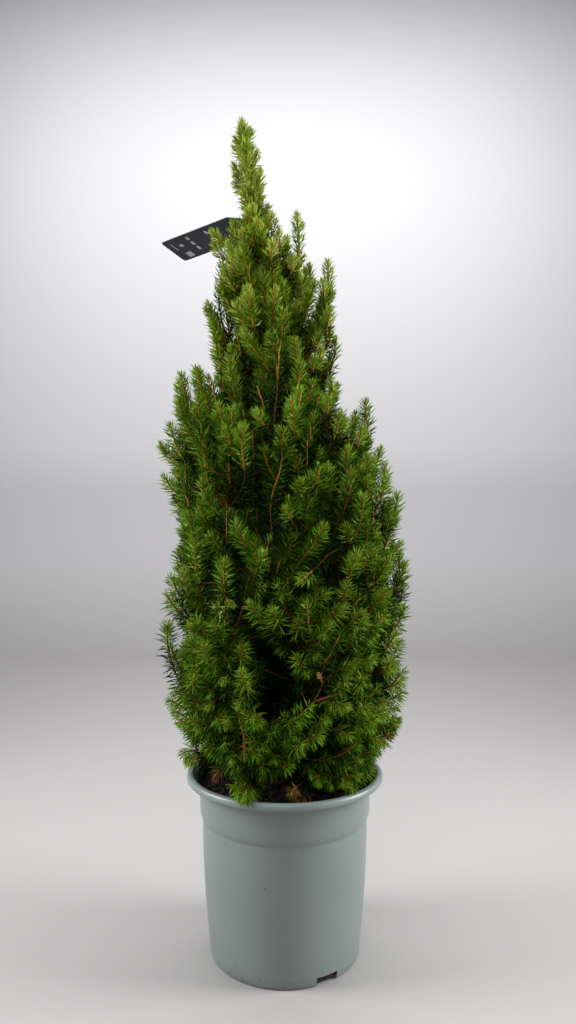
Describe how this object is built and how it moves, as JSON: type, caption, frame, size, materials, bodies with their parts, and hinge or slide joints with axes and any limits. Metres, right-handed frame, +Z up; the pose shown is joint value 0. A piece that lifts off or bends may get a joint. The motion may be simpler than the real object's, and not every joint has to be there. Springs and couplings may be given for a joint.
{
  "type": "potted dwarf alberta spruce",
  "caption": "Narrow conical dwarf spruce with upright needled shoots and a leaning leader on one short trunk, growing in a round tapered nursery pot, with a blank card tag at its top.",
  "frame": {"origin": "middle of the pot's flat underside, where the pot stands on the ground", "axes": "+Z up along the pot's axis, +X to the right and -Y towards the viewer in the picture; the leader leans towards -X"},
  "size_m": [0.3021, 0.2888, 0.982],
  "materials": {
    "pot_plastic": "satin",
    "peat": "matte",
    "bark": "matte",
    "foliage": "matte",
    "tag_card": "satin"
  },
  "bodies": {
    "root": {"bough_lower_back_left": "bark", "bough_lower_back_right": "bark", "bough_lower_front_left": "bark", "bough_lower_front_right": "bark", "bough_lower_left": "bark", "bough_lower_right": "bark", "bough_middle_back": "bark", "bough_middle_back_left": "bark", "bough_middle_front": "bark", "bough_middle_front_right": "bark", "bough_middle_left": "bark", "bough_middle_right": "bark", "bough_skirt_back": "bark", "bough_skirt_back_left": "bark", "bough_skirt_front": "bark", "bough_skirt_front_right": "bark", "bough_skirt_left": "bark", "bough_skirt_right": "bark", "crown_back": "foliage", "crown_front": "foliage", "crown_left": "foliage", "crown_right": "foliage", "leader_top": "foliage", "lower_back_left": "foliage", "lower_back_right": "foliage", "lower_front_left": "foliage", "lower_front_right": "foliage", "lower_left": "foliage", "lower_right": "foliage", "middle_back": "foliage", "middle_back_left": "foliage", "middle_front": "foliage", "middle_front_right": "foliage", "middle_left": "foliage", "middle_right": "foliage", "plant_tag": "tag_card", "pot": "pot_plastic", "shoulder_back": "foliage", "shoulder_front": "foliage", "shoulder_left": "foliage", "shoulder_right": "foliage", "skirt_back": "foliage", "skirt_back_left": "foliage", "skirt_front": "foliage", "skirt_front_right": "foliage", "skirt_left": "foliage", "skirt_right": "foliage", "soil": "peat", "spire_back": "foliage", "spire_front": "foliage", "spire_left": "foliage", "spire_middle_right": "foliage", "spire_right": "foliage", "trunk": "bark", "upper_back_left": "foliage", "upper_back_right": "foliage", "upper_front_left": "foliage", "upper_front_right": "foliage", "upper_left": "foliage", "upper_right": "foliage"}
  },
  "joints": []
}
